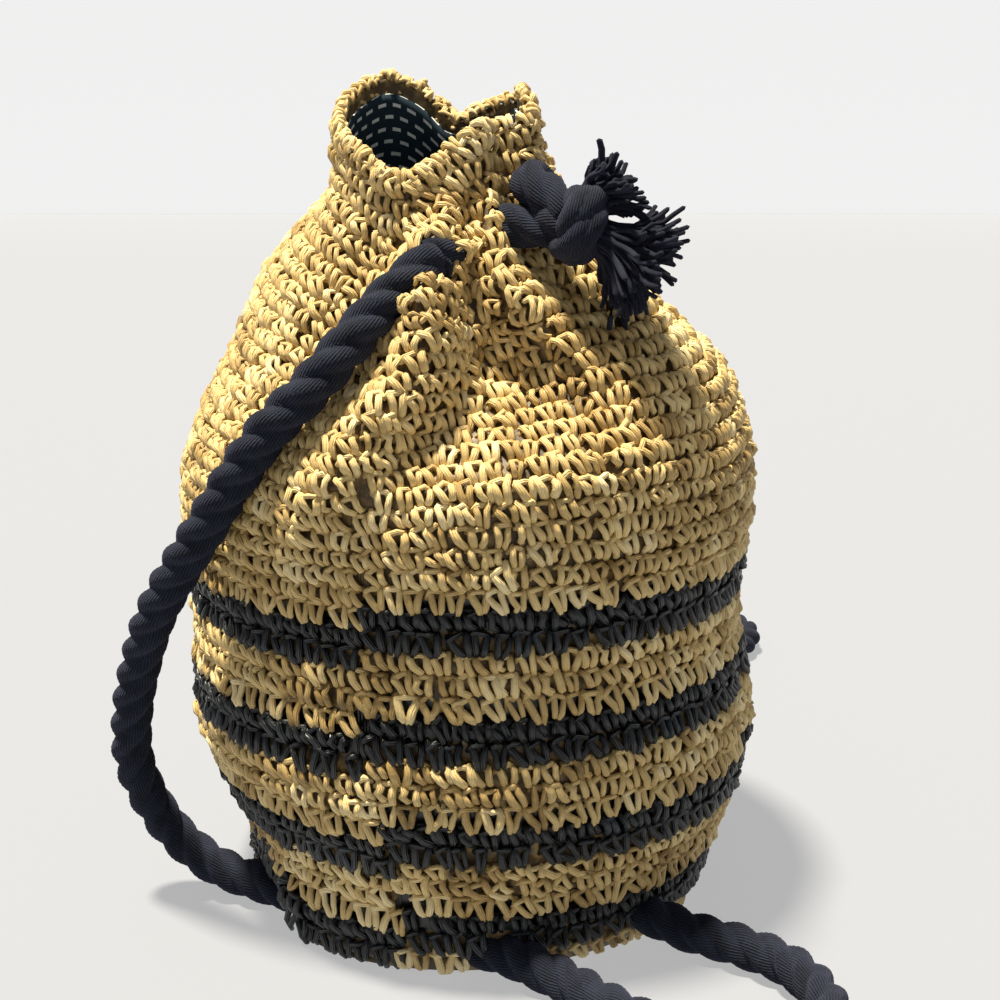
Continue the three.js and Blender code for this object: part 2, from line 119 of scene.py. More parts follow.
# Gathered folds: azimuth at the top, azimuth at the bottom, full from, nothing at, width, rise
FOLDS = [
    (-95, -129, 0.97, 0.6, 10, 0.18),
    (-84, -88, 1.03, 0.86, 7, -0.12),
    (-74, -62, 1.04, 0.86, 8, 0.09),
    (-55, -48, 1.05, 0.92, 10, -0.1),
    (-26, -32, 1.0, 0.82, 11, 0.05),
    (-4, -8, 1.02, 0.88, 9, -0.07),
    (18, 14, 1.0, 0.84, 10, 0.05),
    (41, 38, 1.02, 0.88, 9, -0.08),
    (63, 66, 1.0, 0.8, 10, 0.05),
    (86, 90, 1.02, 0.86, 9, -0.08),
    (108, 112, 1.0, 0.78, 10, 0.05),
    (131, 134, 1.02, 0.88, 9, -0.06),
    (155, 158, 1.0, 0.84, 11, 0.04),
    (180, 182, 1.02, 0.88, 9, 0.02),
    (-117, -136, 1.0, 0.8, 12, -0.07),
]
# Dents and bulges: azimuth, height, half-width, half-height, rise
DENTS = [
    (-83, 0.9, 19, 0.075, -0.2),
    (-98, 0.82, 9, 0.05, -0.09),
    (-72, 0.79, 26, 0.05, 0.045),
    (0, 0.97, 34, 0.07, -0.05),
    (-124, 0.02, 28, 0.14, 0.035),
    (-14, 0.3, 5, 0.13, -0.04),
    (8, 0.28, 14, 0.14, 0.03),
]
# The stripes from the base up: name, rows, colour
STRIPES = [
    ("straw_hem", 1, "straw"),
    ("navy_band_4", 2, "navy"),
    ("straw_band_3", 3, "straw"),
    ("navy_band_3", 2, "navy"),
    ("straw_band_2", 3, "straw"),
    ("navy_band_2", 2, "navy"),
    ("straw_band_1", 3, "straw"),
    ("navy_band_1", 2, "navy"),
]
ROW_COLOURS = [colour for _, rows, colour in STRIPES for _ in range(rows)]
STRIPE_ROWS = len(ROW_COLOURS)

# The drawstring in the neck (azimuth, radius, height) and the free ropes' routes
FRONT_ARC = [
    (-93, 0.609, 1.06),
    (-82, 0.415, 1.06),
    (-73, 0.4, 1.085),
    (-65, 0.46, 1.105),
    (-58, 0.525, 1.105),
]
BACK_ARC = [
    (-57, 0.43, 1.165),
    (-45, 0.36, 1.16),
    (-26, 0.33, 1.13),
    (-5, 0.38, 1.09),
    (14, 0.42, 1.065),
    (30, 0.45, 1.045),
    (40, 0.51, 1.04),
    (46, 0.6, 1.03),
]
LEFT_STRAP = [
    (-32, -99, 303), (-46, -110, 288), (-62, -116, 270), (-81, -114, 251), (-98, -107, 228),
    (-113, -100, 205), (-128, -90, 182), (-142, -79, 158), (-153, -67, 131), (-161, -57, 103),
    (-164, -50, 76), (-159, -46, 54), (-147, -44, 32), (-128, -46, 16), (-103, -55, 10.8),
    (-60, -78, 10.3), (-18, -100.6, 10.3), (4, -112.4, 10.3), (21, -122, 10.3), (42, -140, 10.3),
    (64, -163, 10.3), (88, -182, 10.3), (113, -192, 10.3), (137, -189, 10.3), (153, -173, 10.3),
    (153, -150, 10.3), (144, -129, 10.3), (124, -112, 10.3), (104, -102, 11), (84, -91, 14.5),
    (66, -79, 17),
]
RIGHT_STRAP = [
    (68, 82, 301), (82, 104, 276), (90, 122, 246), (89, 135, 208), (84, 139, 165),
    (80, 142, 120), (77, 147, 75), (78, 156, 38), (82, 174, 14), (88, 198, 10.3),
    (100, 230, 10.3), (122, 262, 10.3), (152, 278, 10.3), (183, 289, 10.3), (198, 318, 10.3),
    (184, 348, 10.3), (152, 360, 10.3), (112, 346, 10.3), (82, 306, 10.3), (60, 250, 10.3),
    (58, 192, 10.3), (72, 140, 10.3), (82, 112, 11), (76, 88, 15.5), (64, 70, 16),
]
STRAP_UNDER_BAG = ((-103, -55), (4, -112.4))
KNOT = (0.353, -0.56, 1.11)
# Frayed ends: name, start from the knot's centre, heading, length, yarns, fan
TASSELS = [
    ("tassel_upper", (4, 4, 8), (0.75, 0.1, 0.65), 22, 90, 0.7),
    ("tassel_lower", (8, -1, -5), (0.87, -0.05, -0.5), 36, 150, 0.75),
]


def ease(x):
    t = np.clip(x, 0, 1)
    return t * t * (3 - 2 * t)


def turn(start, end):
    return ((end - start) % 360 + 540) % 360 - 180


def curve_through(rows, column, period=0):
    """A smooth curve through one column of a table against its first."""
    xs = np.array([row[0] for row in rows], float)
    ys = np.array([row[column] for row in rows], float)
    start = xs[0]
    if period:
        xs = np.concatenate([xs[-2:] - period, xs, xs[:2] + period])
        ys = np.concatenate([ys[-2:], ys, ys[:2]])
    last = len(xs) - 1
    before = np.maximum(0, np.arange(last + 1) - 1)
    after = np.minimum(last, np.arange(last + 1) + 1)
    slopes = (ys[after] - ys[before]) / (xs[after] - xs[before])

    def value(x):
        x = np.asarray(x, float)
        if period:
            x = start + (x - start) % period
        x = np.clip(x, xs[0], xs[-1])
        i = np.clip(np.searchsorted(xs, x, side="left") - 1, 0, last - 1)
        span = xs[i + 1] - xs[i]
        t = (x - xs[i]) / span
        h = t * t * (3 - 2 * t)
        bend = slopes[i] * t * (1 - t) ** 2 - slopes[i + 1] * t * t * (1 - t)
        return ys[i] * (1 - h) + ys[i + 1] * h + span * bend

    return value


section_radius = curve_through(SECTIONS, 1)
section_x = curve_through(SECTIONS, 2)
section_y = curve_through(SECTIONS, 3)
rim_radius = curve_through(RIM, 1, 360)
rim_rise = curve_through(RIM, 2, 360)


def relief(azimuth, height, mouth):
    """How far folds and dents move the wall out, as a share of the belly's radius."""
    rise = np.zeros(np.broadcast(azimuth, height).shape)
    for top, bottom, full, end, width, amount in FOLDS:
        down = np.clip((full - height) / (full - end), 0, 1)
        centre = top + turn(top, bottom) * down
        across = turn(centre, azimuth) / width
        rise = rise + amount * np.exp(-across * across) * ease(1 - down)
    rise = rise * (1 - ease((mouth - 0.45) / 0.55))
    for middle, at, wide, tall, amount in DENTS:
        across = turn(middle, azimuth) / wide
        up = (height - at) / tall
        rise = rise + amount * np.exp(-across * across - up * up)
    return rise


def lift_over_rope(x, y, under=0.42):
    """How far the soft bottom is pushed up where it lies over the rope.

    It is pushed up fully as far from the rope's middle as the share under of its thickness.
    """
    (ax, ay), (bx, by) = STRAP_UNDER_BAG
    length = math.hypot(bx - ax, by - ay)
    away = np.abs((x - ax) * (by - ay) - (y - ay) * (bx - ax)) / length
    return (ROPE + 4 * GAP) * (1 - ease((away - under * ROPE) / (0.48 * ROPE)))


def hangs_down(x, y):
    """Where the rope comes out at the front, the hem hangs down over it instead of riding on it."""
    (ax, ay), (bx, by) = STRAP_UNDER_BAG
    share = ((x - ax) * (bx - ax) + (y - ay) * (by - ay)) / ((bx - ax) ** 2 + (by - ay) ** 2)
    return ease((share - 0.4) / 0.35)


def face_point(azimuth, level):
    """A point of the bag's outer face. Level 0 to 1 is the body, 1 to 2 the mouth up to its rim."""
    azimuth = np.asarray(azimuth, float)
    level = np.asarray(level, float)
    mouth = np.maximum(0, level - 1)
    z = np.minimum(1, level) * SHOULDER_HEIGHT + mouth * rim_rise(azimuth) * MOUTH_HEIGHT
    height = z / SHOULDER_HEIGHT
    opened = ease(mouth)
    radius = section_radius(height) + relief(azimuth, height, mouth)
    r = BELLY_RADIUS * (radius * (1 - opened) + rim_radius(azimuth) * opened)
    cx = BELLY_RADIUS * (section_x(height) * (1 - opened) + RIM_CENTRE[0] * opened)
    cy = BELLY_RADIUS * (section_y(height) * (1 - opened) + RIM_CENTRE[1] * opened)
    angle = np.radians(azimuth)
    return np.stack([cx + r * np.cos(angle), cy + r * np.sin(angle), z], -1)


def unit(v):
    return v / np.maximum(np.linalg.norm(v, axis=-1, keepdims=True), 1e-9)


def wall_point(azimuth, level, inset):
    """A point of the wall, so far in from its outer face, with the bottom draped over the rope."""
    azimuth, level = np.broadcast_arrays(np.asarray(azimuth, float), np.asarray(level, float))
    point = face_point(azimuth, level)
    around = face_point(azimuth + 5, level) - face_point(azimuth - 5, level)
    above = face_point(azimuth, np.minimum(2, level + 0.05))
    up = above - face_point(azimuth, np.maximum(0, level - 0.05))
    out = np.cross(around, up)
    out[..., 2] *= ease((level - 0.1) / 0.3)
    point = point - unit(out) * inset
    slack = 1 - ease(point[..., 2] / (6 * ROW_HEIGHT))
    lift = lift_over_rope(point[..., 0], point[..., 1]) * (1 - hangs_down(point[..., 0], point[..., 1]))
    point[..., 2] += lift * slack
    return point


def wall_frame(azimuth, level, inset):
    """Points of the wall with the directions along the row, up the wall and out of it."""
    point = wall_point(azimuth, level, inset)
    along = wall_point(azimuth + 1.5, level, inset) - wall_point(azimuth - 1.5, level, inset)
    higher = wall_point(azimuth, np.minimum(2, level + 0.012), inset)
    lower = wall_point(azimuth, np.maximum(0, level - 0.012), inset)
    along = unit(along)
    out = unit(np.cross(along, higher - lower))
    return point, along, np.cross(out, along), out


# Mesh making
def linear(hex_colour):
    """An sRGB hex colour as linear RGBA."""
    values = [int(hex_colour[i : i + 2], 16) / 255 for i in (1, 3, 5)]
    return (*[v / 12.92 if v <= 0.04045 else ((v + 0.055) / 1.055) ** 2.4 for v in values], 1)


def make_piece(name, vertices, faces, materials, uvs=None, tones=None, material_index=None):
    """A mesh object from points in millimetres and a list or array of faces, smooth shaded, at the origin.

    uvs and tones are given for each vertex.
    """
    mesh = bpy.data.meshes.new(name)
    if isinstance(faces, np.ndarray):
        counts = np.full(len(faces), faces.shape[1])
        corners = faces.reshape(-1)
    else:
        counts = np.concatenate([np.full(len(f), f.shape[1]) for f in faces])
        corners = np.concatenate([f.reshape(-1) for f in faces])
    starts = np.concatenate([[0], np.cumsum(counts)[:-1]])
    mesh.vertices.add(len(vertices))
    mesh.vertices.foreach_set("co", (np.asarray(vertices, float) * MM).reshape(-1))
    mesh.loops.add(len(corners))
    mesh.loops.foreach_set("vertex_index", corners.astype(np.int32))
    mesh.polygons.add(len(counts))
    mesh.polygons.foreach_set("loop_start", starts.astype(np.int32))
    mesh.update(calc_edges=True)
    mesh.polygons.foreach_set("use_smooth", np.ones(len(counts), bool))
    for material in materials:
        mesh.materials.append(material)
    if material_index is not None:
        mesh.polygons.foreach_set("material_index", material_index.astype(np.int32))
    if uvs is not None:
        layer = mesh.uv_layers.new(name="strand")
        layer.data.foreach_set("uv", uvs[corners].reshape(-1))
    if tones is not None:
        mesh.attributes.new("tone", "FLOAT", "POINT").data.foreach_set("value", tones.astype(np.float32))
    mesh.validate()
    piece = bpy.data.objects.new(name, mesh)
    bpy.context.scene.collection.objects.link(piece)
    return piece


def strand_template(points, width, depth, sides):
    """One bent strand of straw: points, quads, tip triangles and UVs, in the stitch's own millimetres."""
    path = np.array(points, float)
    heading = unit(np.gradient(path, axis=0))
    side = unit(np.cross(heading, [0, 0, 1.0]))
    proud = np.cross(side, heading)
    angle = 2 * np.pi * np.arange(sides) / sides
    swell = np.sin(np.linspace(0.22, 0.78, len(path)) * np.pi) ** 0.35
    rings = []
    for i in range(len(path)):
        ring = np.outer(np.cos(angle), side[i]) * width + np.outer(np.sin(angle), proud[i]) * depth
        rings.append(path[i] + swell[i] * ring / 2)
    tips = [path[0] - heading[0] * width * 0.3, path[-1] + heading[-1] * width * 0.3]
    vertices = np.concatenate([*rings, tips])
    quads, triangles = [], []
    for i in range(len(path) - 1):
        for k in range(sides):
            n = (k + 1) % sides
            quads.append([i * sides + k, (i + 1) * sides + k, (i + 1) * sides + n, i * sides + n])
    first, last = len(vertices) - 2, len(vertices) - 1
    base = (len(path) - 1) * sides
    for k in range(sides):
        n = (k + 1) % sides
        triangles.append([first, k, n])
        triangles.append([last, base + n, base + k])
    along = np.repeat(np.linspace(0, 1, len(path)), sides)
    round_ = np.tile(np.abs(np.linspace(-1, 1, sides, endpoint=False)), len(path))
    uvs = np.concatenate([np.stack([round_, along], -1), [[0.5, 0], [0.5, 1]]])
    return vertices, np.array(quads), np.array(triangles), uvs


def stitch_variants(count, seed, hanging):
    """Worked stitches: two slanted legs that meet at the bottom, and a loop over their tops.

    The legs' lower ends tuck in, or hang free over the next colour or at the cloth's edge.
    """
    rng = np.random.default_rng(seed)
    variants = []
    for _ in range(count):
        j = lambda s: rng.normal(0, s)
        apart = abs(rng.normal(0.9, 0.7))
        lean = 1.3 if hanging else rng.normal(0.5, 0.6)
        proud = (-1.6, 0.6, 1.8, 2.6, 1.5) if hanging else (-0.6, 2.2, 2.6, 0.9, -1.8)
        drop = 6.5 if hanging else 5.2
        left = [
            (-3.9 + j(0.6), 4.6 + j(0.5), proud[0]),
            (-3.2 + j(0.4), 2.4, proud[1] + j(0.3)),
            (-1.9 + j(0.4), -0.8, proud[2] + j(0.4)),
            (-0.5 + j(0.4), -3.6 + j(0.4), proud[3] + j(0.4)),
            (0.6 - apart / 2, -drop + j(0.6), proud[4]),
        ]
        right = [
            (1.6 + lean + j(0.7), 4.4 + j(0.7), proud[0]),
            (2.0 + lean * 0.6 + j(0.5), 2.2, proud[1] - 0.2 + j(0.3)),
            (2.6 + j(0.4), -0.8, proud[2] - 0.3 + j(0.4)),
            (3.2 - lean * 0.6 + j(0.4), -3.5 + j(0.4), proud[3] - 0.3 + j(0.4)),
            (3.6 - lean * 1.4 + apart / 2, -drop + 0.2 + j(0.6), proud[4]),
        ]
        behind = [
            (-5.4 + j(0.5), 1.2 + j(0.7), -1.0),
            (-3.0 + j(0.5), 3.6 + j(0.6), 1.3 + j(0.3)),
            (0.2 + j(0.5), 4.6 + j(0.6), 1.4 + j(0.4)),
            (2.6 + j(0.6), 3.2 + j(0.7), -1.0),
        ]
        legs = [
            strand_template(left, STRAND * 1.04, STRAND * 0.86, 6),
            strand_template(right, STRAND, STRAND * 0.82, 6),
            strand_template(behind, STRAND * 0.85, STRAND * 0.7, 5),
        ]
        vertices, quads, triangles, uvs, back = [], [], [], [], []
        offset = 0
        for n, (v, q, t, u) in enumerate(legs):
            vertices.append(v)
            quads.append(q + offset)
            triangles.append(t + offset)
            uvs.append(u)
            back.append((np.full(len(q), n == 2), np.full(len(t), n == 2)))
            offset += len(v)
        variants.append(
            {
                "points": np.concatenate(vertices),
                "quads": np.concatenate(quads),
                "triangles": np.concatenate(triangles),
                "uvs": np.concatenate(uvs),
                "quad_back": np.concatenate([b[0] for b in back]),
                "triangle_back": np.concatenate([b[1] for b in back]),
            }
        )
    return variants


TUCKED = stitch_variants(14, 11, False)
HANGING = stitch_variants(12, 12, True)


def closed_band(rows, columns):
    """The quads of a grid of points that closes on itself both ways."""
    k = np.arange(columns)
    n = (k + 1) % columns
    quads = []
    for r in range(rows):
        s = (r + 1) % rows
        quads.append(np.stack([r * columns + k, r * columns + n, s * columns + n, s * columns + k], -1))
    return np.concatenate(quads)


class Fabric:
    """Gathers the walls and stitches of one piece, and makes its mesh."""

    def __init__(self):
        self.vertices, self.quads, self.triangles = [], [], []
        self.uvs, self.tones, self.quad_dyed, self.triangle_dyed = [], [], [], []
        self.count = 0

    def add(self, vertices, quads, triangles, uvs, tones, quad_dyed, triangle_dyed):
        self.vertices.append(vertices)
        self.quads.append(quads + self.count)
        self.triangles.append(triangles + self.count)
        self.uvs.append(uvs)
        self.tones.append(tones)
        self.quad_dyed.append(quad_dyed)
        self.triangle_dyed.append(triangle_dyed)
        self.count += len(vertices)

    def add_wall(self, outside, inside, dyed):
        """A closed band of cloth between two grids of points, rows by columns, that run round. Its tone of
        -0.3 is darker than any stitch's: painted shade that shows between the stitches.
        """
        rows, columns = outside.shape[:2]
        grid = np.concatenate([outside, inside[::-1]])
        height = np.linspace(0, 1, 2 * rows)[:, None].repeat(columns, 1)
        around = np.linspace(0, 1, columns)[None].repeat(2 * rows, 0)
        flags = np.concatenate([dyed, [dyed[-1]], dyed[::-1], [dyed[0]]])
        self.add(
            grid.reshape(-1, 3),
            closed_band(2 * rows, columns),
            np.zeros((0, 3), int),
            np.stack([around, height], -1).reshape(-1, 2),
            # Painted shade: the cloth takes the darkest end of the straw's colour ramp, standing for the
            # shade between the stitches.
            np.full(grid.size // 3, -0.3),
            np.repeat(flags, columns),
            np.zeros(0, bool),
        )

    def add_stitches(
        self, point, along, up, out, width, height, tone, leg_dyed, back_dyed, floor=None, variants=TUCKED
    ):
        """Stitches at the given places, with their widths and heights in millimetres."""
        pick = chance.integers(0, len(variants), len(point))
        for number, stitch in enumerate(variants):
            chosen = np.nonzero(pick == number)[0]
            if not len(chosen):
                continue
            tilt = chance.normal(0.08, 0.2, len(chosen))
            size = chance.normal(1, 0.1, (len(chosen), 3))
            local = stitch["points"][None] * size[:, None, :]
            wide, tall = width[chosen] / STITCH_WIDTH, height[chosen] / ROW_HEIGHT
            local = local * np.stack([wide, tall, np.ones(len(chosen))], -1)[:, None]
            c, s = np.cos(tilt)[:, None], np.sin(tilt)[:, None]
            u = local[..., 0] * c - local[..., 1] * s
            v = local[..., 0] * s + local[..., 1] * c
            w = local[..., 2] + chance.normal(0, 0.4, (len(chosen), 1))
            placed = (
                point[chosen][:, None]
                + u[..., None] * along[chosen][:, None]
                + v[..., None] * up[chosen][:, None]
                + w[..., None] * out[chosen][:, None]
            )
            if floor is not None:
                placed[..., 2] = np.maximum(placed[..., 2], floor)
            n, size_of = len(chosen), len(stitch["points"])
            shift = (np.arange(n) * size_of)[:, None, None]
            quads = (stitch["quads"][None] + shift).reshape(-1, 4)
            triangles = (stitch["triangles"][None] + shift).reshape(-1, 3)
            back, leg = back_dyed[chosen][:, None], leg_dyed[chosen][:, None]
            quad_dyed = np.where(stitch["quad_back"][None], back, leg)
            triangle_dyed = np.where(stitch["triangle_back"][None], back, leg)
            self.add(
                placed.reshape(-1, 3),
                quads,
                triangles,
                np.tile(stitch["uvs"], (n, 1)),
                np.repeat(tone[chosen], size_of),
                quad_dyed.reshape(-1),
                triangle_dyed.reshape(-1),
            )

    def piece(self, name):
        faces = [np.concatenate(self.quads), np.concatenate(self.triangles)]
        index = np.concatenate([*self.quad_dyed, *self.triangle_dyed]).astype(int)
        return make_piece(
            name,
            np.concatenate(self.vertices),
            faces,
            [straw, dark_straw],
            np.concatenate(self.uvs),
            np.concatenate(self.tones),
            index,
        )


# Ropes
def rope_line(control, step=1.0):
    """A smooth curve through points: even points, and the places along it of these and of the controls."""
    p = np.array(control, float)
    p = np.concatenate([[2 * p[0] - p[1]], p, [2 * p[-1] - p[-2]]])
    samples, marks = [], []
    for i in range(1, len(p) - 2):
        a, b, c, d = p[i - 1 : i + 3]
        ta, tb, tc = (max(np.linalg.norm(q - r), 1e-4) ** 0.5 for q, r in ((b, a), (c, b), (d, c)))
        m = ((b - a) / ta - (c - a) / (ta + tb) + (c - b) / tb) * tb
        n = ((c - b) / tb - (d - b) / (tb + tc) + (d - c) / tc) * tb
        t = np.linspace(0, 1, 60, endpoint=False)[:, None]
        h = 2 * t**3 - 3 * t**2 + 1, t**3 - 2 * t**2 + t, -2 * t**3 + 3 * t**2, t**3 - t**2
        marks.append(sum(len(s) for s in samples))
        samples.append(h[0] * b + h[1] * m + h[2] * c + h[3] * n)
    marks.append(sum(len(s) for s in samples))
    fine = np.concatenate([*samples, [p[-2]]])
    lengths = np.concatenate([[0], np.cumsum(np.linalg.norm(np.diff(fine, axis=0), axis=1))])
    count = max(2, int(round(lengths[-1] / step)) + 1)
    even = np.linspace(0, lengths[-1], count)
    points = np.stack([np.interp(even, lengths, fine[:, k]) for k in range(3)], -1)
    return points, even, lengths[marks]


def carried_frames(points):
    """Two directions across a line at each point, carried along it without twist."""
    heading = unit(np.gradient(points, axis=0))
    start = np.array([0, 0, 1.0]) if abs(heading[0][2]) < 0.9 else np.array([1.0, 0, 0])
    side = unit(np.cross(heading[0], start))
    sides = [side]
    for i in range(1, len(points)):
        side = side - heading[i] * np.dot(side, heading[i])
        side = side / np.linalg.norm(side)
        sides.append(side)
    sides = np.array(sides)
    return heading, sides, np.cross(heading, sides)


def lobed(angle, diameter, strands=3, fullness=0.64):
    """The radius of a laid rope's section: the outline of three round strands pressed together."""
    span = 2 * math.pi / strands
    away = (angle + span / 2) % span - span / 2
    strand = diameter / 2 * fullness
    centre = diameter / 2 - strand
    return centre * np.cos(away) + np.sqrt(np.maximum(strand**2 - (centre * np.sin(away)) ** 2, 0))


def laid_rope(name, points, even, material, diameter=ROPE, lay=ROPE_LAY, sides=30):
    """A three-strand rope along a line, as a closed tube whose faces follow the strands."""
    heading, side, other = carried_frames(points)
    k = np.arange(sides) * 2 * np.pi / sides
    spin = 2 * np.pi * even / lay
    reach = lobed(k, diameter)[None].repeat(len(points), 0)
    angle = k[None] + spin[:, None]
    ring = points[:, None] + reach[..., None] * (
        np.cos(angle)[..., None] * side[:, None] + np.sin(angle)[..., None] * other[:, None]
    )
    ring[..., 2] = np.maximum(ring[..., 2], 0.2)
    rings = len(points)
    vertices = np.concatenate([ring.reshape(-1, 3), [points[0], points[-1]]])
    r = np.arange(rings - 1)[:, None] * sides
    i = np.arange(sides)[None]
    n = (i + 1) % sides
    quads = np.stack([r + i, r + n, r + sides + n, r + sides + i], -1).reshape(-1, 4)
    base = (rings - 1) * sides
    i, n = i[0], n[0]
    ends = np.concatenate(
        [
            np.stack([np.full(sides, rings * sides), n, i], -1),
            np.stack([np.full(sides, rings * sides + 1), base + i, base + n], -1),
        ]
    )
    across = (np.arange(sides) / sides)[None] + (even / lay)[:, None]
    along = (even / lay)[:, None].repeat(sides, 1)
    uvs = np.concatenate([np.stack([across, along], -1).reshape(-1, 2), [[0, 0], [0, 0]]])
    return make_piece(name, vertices, [quads, ends], [material], uvs)


def neck_point(azimuth, radius, height):
    angle = math.radians(azimuth)
    return (
        BELLY_RADIUS * (float(section_x(height)) + radius * math.cos(angle)),
        BELLY_RADIUS * (float(section_y(height)) + radius * math.sin(angle)),
        SHOULDER_HEIGHT * height,
    )


KNOT_CENTRE = np.array([BELLY_RADIUS * KNOT[0], BELLY_RADIUS * KNOT[1], SHOULDER_HEIGHT * KNOT[2]])


# Materials
def new_material(name):
    material = bpy.data.materials.new(name)
    material.use_nodes = True
    return material, material.node_tree


def add_node(tree, kind, inputs=(), **settings):
    """Adds a node with its settings. inputs pairs a socket's name or number with a value or a socket."""
    node = tree.nodes.new(kind)
    for key, value in settings.items():
        setattr(node, key, value)
    for socket, value in dict(inputs).items():
        if isinstance(value, bpy.types.NodeSocket):
            tree.links.new(value, node.inputs[socket])
        else:
            node.inputs[socket].default_value = value
    return node


def ramp(tree, factor, stops):
    """A colour ramp through (place, hex colour) stops."""
    node = add_node(tree, "ShaderNodeValToRGB", {0: factor})
    elements = node.color_ramp.elements
    while len(elements) < len(stops):
        elements.new(0.5)
    for element, (place, colour) in zip(elements, stops):
        element.position = place
        element.color = linear(colour)
    return node.outputs[0]


def crocheted_straw(name, stops, roughness, specular):
    """Paper raffia: flat paper twisted into a strand, so it has creases along it and lit ridges."""
    material, tree = new_material(name)
    shader = tree.nodes["Principled BSDF"]
    # The tone attribute holds the straw's random tone on the stitches, and on the cloth behind them a lower
    # value that paints the shade between the stitches dark.
    tone = add_node(tree, "ShaderNodeAttribute", attribute_name="tone").outputs["Fac"]
    place = add_node(tree, "ShaderNodeTexCoord")
    # Dye and age vary over about 6 mm, and along each strand.
    patch = add_node(
        tree, "ShaderNodeTexNoise", {"Vector": place.outputs["Object"], "Scale": 170, "Detail": 3}
    )
    blend = add_node(tree, "ShaderNodeMath", {0: tone, 1: patch.outputs["Fac"]}, operation="ADD")
    half = add_node(tree, "ShaderNodeMath", {0: blend.outputs[0], 1: 0.5}, operation="MULTIPLY")
    colour = ramp(tree, half.outputs[0], stops)
    tree.links.new(colour, shader.inputs["Base Color"])
    shader.inputs["Roughness"].default_value = roughness
    shader.inputs["Specular IOR Level"].default_value = specular
    shader.inputs["IOR"].default_value = 1.5
    # Creases of the twisted paper run along the strand, about 0.7 mm apart.
    crease = add_node(
        tree, "ShaderNodeTexWave",
        {"Vector": place.outputs["UV"], "Scale": 1.6, "Distortion": 3.5, "Detail": 2, "Detail Scale": 1.5},
        bands_direction="X",
    )
    fibre = add_node(
        tree, "ShaderNodeTexNoise", {"Vector": place.outputs["Object"], "Scale": 900, "Detail": 2}
    )
    mix = add_node(tree, "ShaderNodeMath", {0: fibre.outputs["Fac"], 1: 0.6}, operation="MULTIPLY")
    height = add_node(tree, "ShaderNodeMath", {0: crease.outputs["Fac"], 1: mix.outputs[0]}, operation="ADD")
    bump = add_node(
        tree, "ShaderNodeBump", {"Height": height.outputs[0], "Strength": 0.55, "Distance": 0.0006}
    )
    tree.links.new(bump.outputs["Normal"], shader.inputs["Normal"])
    return material


straw = crocheted_straw(
    "paper straw, natural",
    [(0.08, "#4a3a20"), (0.3, "#b4955a"), (0.6, "#dfc486"), (0.9, "#f8e7b6")],
    roughness=0.5,
    specular=0.4,
)
dark_straw = crocheted_straw(
    "paper straw, dyed navy",
    [(0.15, "#020304"), (0.45, "#05090b"), (0.7, "#0b1216"), (0.95, "#24323a")],
    roughness=0.36,
    specular=0.6,
)


def laid_cotton():
    """Soft laid cotton rope, dyed: matt yarns that run with the rope's length, with a faint violet bloom."""
    material, tree = new_material("laid cotton rope, dyed navy")
    shader = tree.nodes["Principled BSDF"]
    place = add_node(tree, "ShaderNodeTexCoord")
    # 46 yarns round the rope, about 1.3 mm each.
    yarn = add_node(
        tree, "ShaderNodeTexWave",
        {"Vector": place.outputs["UV"], "Scale": 14.4, "Distortion": 1.6, "Detail": 2, "Detail Scale": 3},
        bands_direction="X",
    )
    patch = add_node(
        tree, "ShaderNodeTexNoise", {"Vector": place.outputs["Object"], "Scale": 120, "Detail": 4}
    )
    fuzz = add_node(
        tree, "ShaderNodeTexNoise", {"Vector": place.outputs["Object"], "Scale": 1500, "Detail": 2}
    )
    # The colour follows the same yarn wave as the bump and is darker in its grooves: painted shade between
    # the yarns, over the dye's patchy variation.
    yarns = add_node(tree, "ShaderNodeMath", {0: yarn.outputs["Fac"], 1: 0.5}, operation="MULTIPLY")
    both = add_node(tree, "ShaderNodeMath", {0: yarns.outputs[0], 1: patch.outputs["Fac"]}, operation="ADD")
    colour = ramp(tree, both.outputs[0], [(0.3, "#07090e"), (0.6, "#10131b"), (0.95, "#242a38")])
    tree.links.new(colour, shader.inputs["Base Color"])
    shader.inputs["Roughness"].default_value = 0.9
    shader.inputs["Specular IOR Level"].default_value = 0.2
    shader.inputs["Sheen Weight"].default_value = 0.16
    shader.inputs["Sheen Roughness"].default_value = 0.5
    shader.inputs["Sheen Tint"].default_value = linear("#8a88b0")
    rough = add_node(
        tree, "ShaderNodeMath", {0: fuzz.outputs["Fac"], 1: yarn.outputs["Fac"]}, operation="ADD"
    )
    bump = add_node(tree, "ShaderNodeBump", {"Height": rough.outputs[0], "Strength": 0.6, "Distance": 0.0007})
    tree.links.new(bump.outputs["Normal"], shader.inputs["Normal"])
    return material


